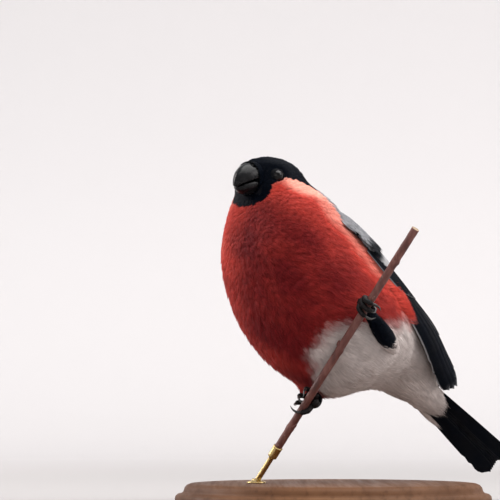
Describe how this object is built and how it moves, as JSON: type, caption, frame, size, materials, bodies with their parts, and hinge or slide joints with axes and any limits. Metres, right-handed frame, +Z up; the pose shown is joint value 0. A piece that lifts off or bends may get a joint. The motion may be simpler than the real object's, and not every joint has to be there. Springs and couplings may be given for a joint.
{
  "type": "bullfinch",
  "caption": "Life-size still model of a male Eurasian bullfinch gripping a short cut twig, held by a slim rod on a round wooden display base.",
  "frame": {"origin": "centre of the display base's underside", "axes": "+Z up, the viewer of the picture at -Y, +X to the viewer's right"},
  "size_m": [0.1334, 0.12, 0.1313],
  "materials": {
    "body_feathers": "soft matt body feathers, rosy red below, grey on the mantle, white at the vent",
    "cap_feathers": "short glossy blue-black feathers",
    "flight_feathers": "blue-black vanes with a soft gloss and pale grey covert tips",
    "tail_feathers": "glossy blue-black vanes under white coverts",
    "bill_horn": "satin dark grey horn",
    "eye": "wet gloss, dark brown",
    "leg_skin": "scaled dark brown skin",
    "claw_horn": "satin dark horn",
    "twig_bark": "thin reddish-brown bark, pale cut ends",
    "base_wood": "oiled turned hardwood, satin",
    "rod_brass": "brushed brass"
  },
  "bodies": {
    "root": {"torso": "body_feathers", "neck": "body_feathers", "head": "cap_feathers", "eye_left": "eye", "eye_right": "eye", "bill_upper": "bill_horn", "bill_lower": "bill_horn", "wing_left": "flight_feathers", "wing_right": "flight_feathers", "tail": "tail_feathers", "thigh_left": "body_feathers", "thigh_right": "body_feathers", "tarsus_left": "leg_skin", "tarsus_right": "leg_skin", "foot_left": "leg_skin", "foot_right": "leg_skin", "claw_left_1": "claw_horn", "claw_left_2": "claw_horn", "claw_left_3": "claw_horn", "claw_left_4": "claw_horn", "claw_right_1": "claw_horn", "claw_right_2": "claw_horn", "claw_right_3": "claw_horn", "claw_right_4": "claw_horn", "perch": "twig_bark", "stand_base": "base_wood", "stand_rod": "rod_brass"}
  },
  "joints": []
}
